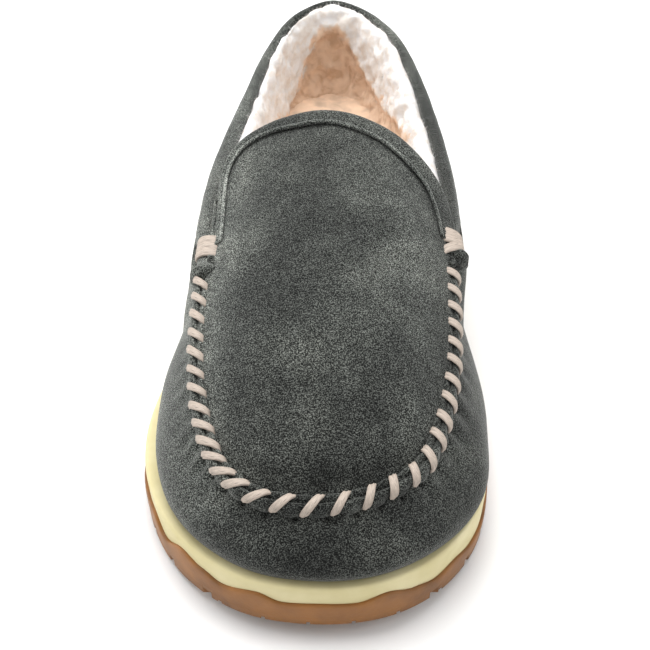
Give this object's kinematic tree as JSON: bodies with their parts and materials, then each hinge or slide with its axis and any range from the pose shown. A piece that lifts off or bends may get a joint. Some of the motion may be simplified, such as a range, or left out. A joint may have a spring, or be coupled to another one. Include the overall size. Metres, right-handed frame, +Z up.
{
  "type": "moccasin house slipper",
  "caption": "Suede moccasin house slipper for the left foot, with a whipstitched plug, a fluffy pile lining, a foam midsole and a gum rubber outsole.",
  "frame": {"origin": "on the ground under the middle of the slipper's bounding box", "axes": "+Z up, toe towards -Y, heel towards +Y, outer side of the foot towards +X"},
  "size_m": [0.1123, 0.296, 0.0885],
  "materials": {
    "gum_rubber": "satin",
    "cream_foam": "satin",
    "fibre_board": "matte",
    "cushion_foam": "matte",
    "tan_pile": "matte",
    "grey_suede": "matte",
    "counter_board": "matte",
    "cream_pile": "matte",
    "cream_cord": "satin"
  },
  "bodies": {
    "root": {"outsole": "gum_rubber", "midsole": "cream_foam", "lasting_board": "fibre_board", "footbed_foam": "cushion_foam", "footbed_cover": "tan_pile", "moccasin_wall": "grey_suede", "back_stay": "grey_suede", "heel_counter": "counter_board", "vamp_lining": "cream_pile", "quarter_lining": "cream_pile", "plug": "grey_suede", "plug_lining": "cream_pile", "seam_ridge": "grey_suede", "collar_band": "grey_suede", "throat_band": "grey_suede", "throat_piping": "grey_suede", "whipstitch_lacing": "cream_cord", "bar_wrap_medial": "cream_cord", "bar_wrap_lateral": "cream_cord"}
  },
  "joints": []
}
